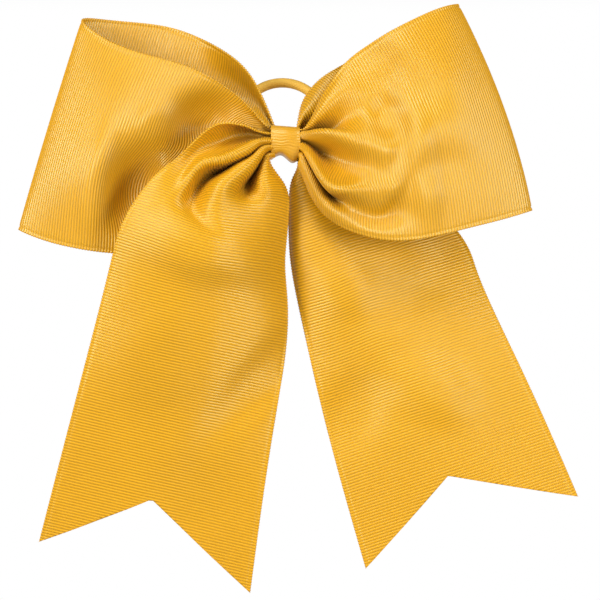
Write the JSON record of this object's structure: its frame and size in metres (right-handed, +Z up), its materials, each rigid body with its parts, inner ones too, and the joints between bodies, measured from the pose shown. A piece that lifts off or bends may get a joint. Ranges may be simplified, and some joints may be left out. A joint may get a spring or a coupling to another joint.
{
  "type": "cheer hair bow",
  "caption": "Wide ribbon hair bow with folded loops, notched tails, a wrapped centre knot and a covered elastic ring behind for a ponytail.",
  "frame": {"origin": "centre of the flat back face of the knot band, where it lies against the hair or a clip", "axes": "+Z up as the bow is worn, tails hanging down; the front of the bow faces -Y; +X is the viewer's right"},
  "size_m": [0.1974, 0.0393, 0.2072],
  "materials": {
    "ribbon": "golden yellow ribbed grosgrain, soft sheen",
    "band": "narrow golden yellow grosgrain",
    "thread": "plain white thread",
    "glue": "cured hot-melt glue, cloudy",
    "elastic_cover": "braided fabric cover",
    "rubber_core": "natural latex strand"
  },
  "bodies": {
    "knot": {"gathered_waist": "ribbon", "binding_thread": "thread", "knot_band": "band", "knot_glue": "glue"},
    "elastic": {"elastic_cover": "elastic_cover", "elastic_core": "rubber_core"},
    "left_loop": {"left_loop": "ribbon"},
    "right_loop": {"right_loop": "ribbon"},
    "left_tail": {"left_tail": "ribbon"},
    "right_tail": {"right_tail": "ribbon"}
  },
  "joints": [
    {"name": "left_loop_bend", "type": "hinge", "parent": "knot", "child": "left_loop", "pos_m": [-0.0058, -0.0079, 0], "axis": [0, 0, 1], "range_deg": [-12, 0], "stiffness_Nm_per_rad": 0.03},
    {"name": "right_loop_bend", "type": "hinge", "parent": "knot", "child": "right_loop", "pos_m": [0.0058, -0.0142, 0], "axis": [0, 0, 1], "range_deg": [-25, 0], "stiffness_Nm_per_rad": 0.03},
    {"name": "left_tail_swing", "type": "hinge", "parent": "knot", "child": "left_tail", "pos_m": [-0.02, -0.014, 0.007], "axis": [1, 0, 0], "range_deg": [-35, 0], "stiffness_Nm_per_rad": 0.03},
    {"name": "right_tail_swing", "type": "hinge", "parent": "knot", "child": "right_tail", "pos_m": [0.02, -0.007, -0.002], "axis": [1, 0, 0], "range_deg": [0, 30], "stiffness_Nm_per_rad": 0.03},
    {"name": "elastic_swing", "type": "hinge", "parent": "knot", "child": "elastic", "pos_m": [0, -0.00395, 0], "axis": [1, 0, 0], "range_deg": [-62, 0], "stiffness_Nm_per_rad": 0.01}
  ]
}
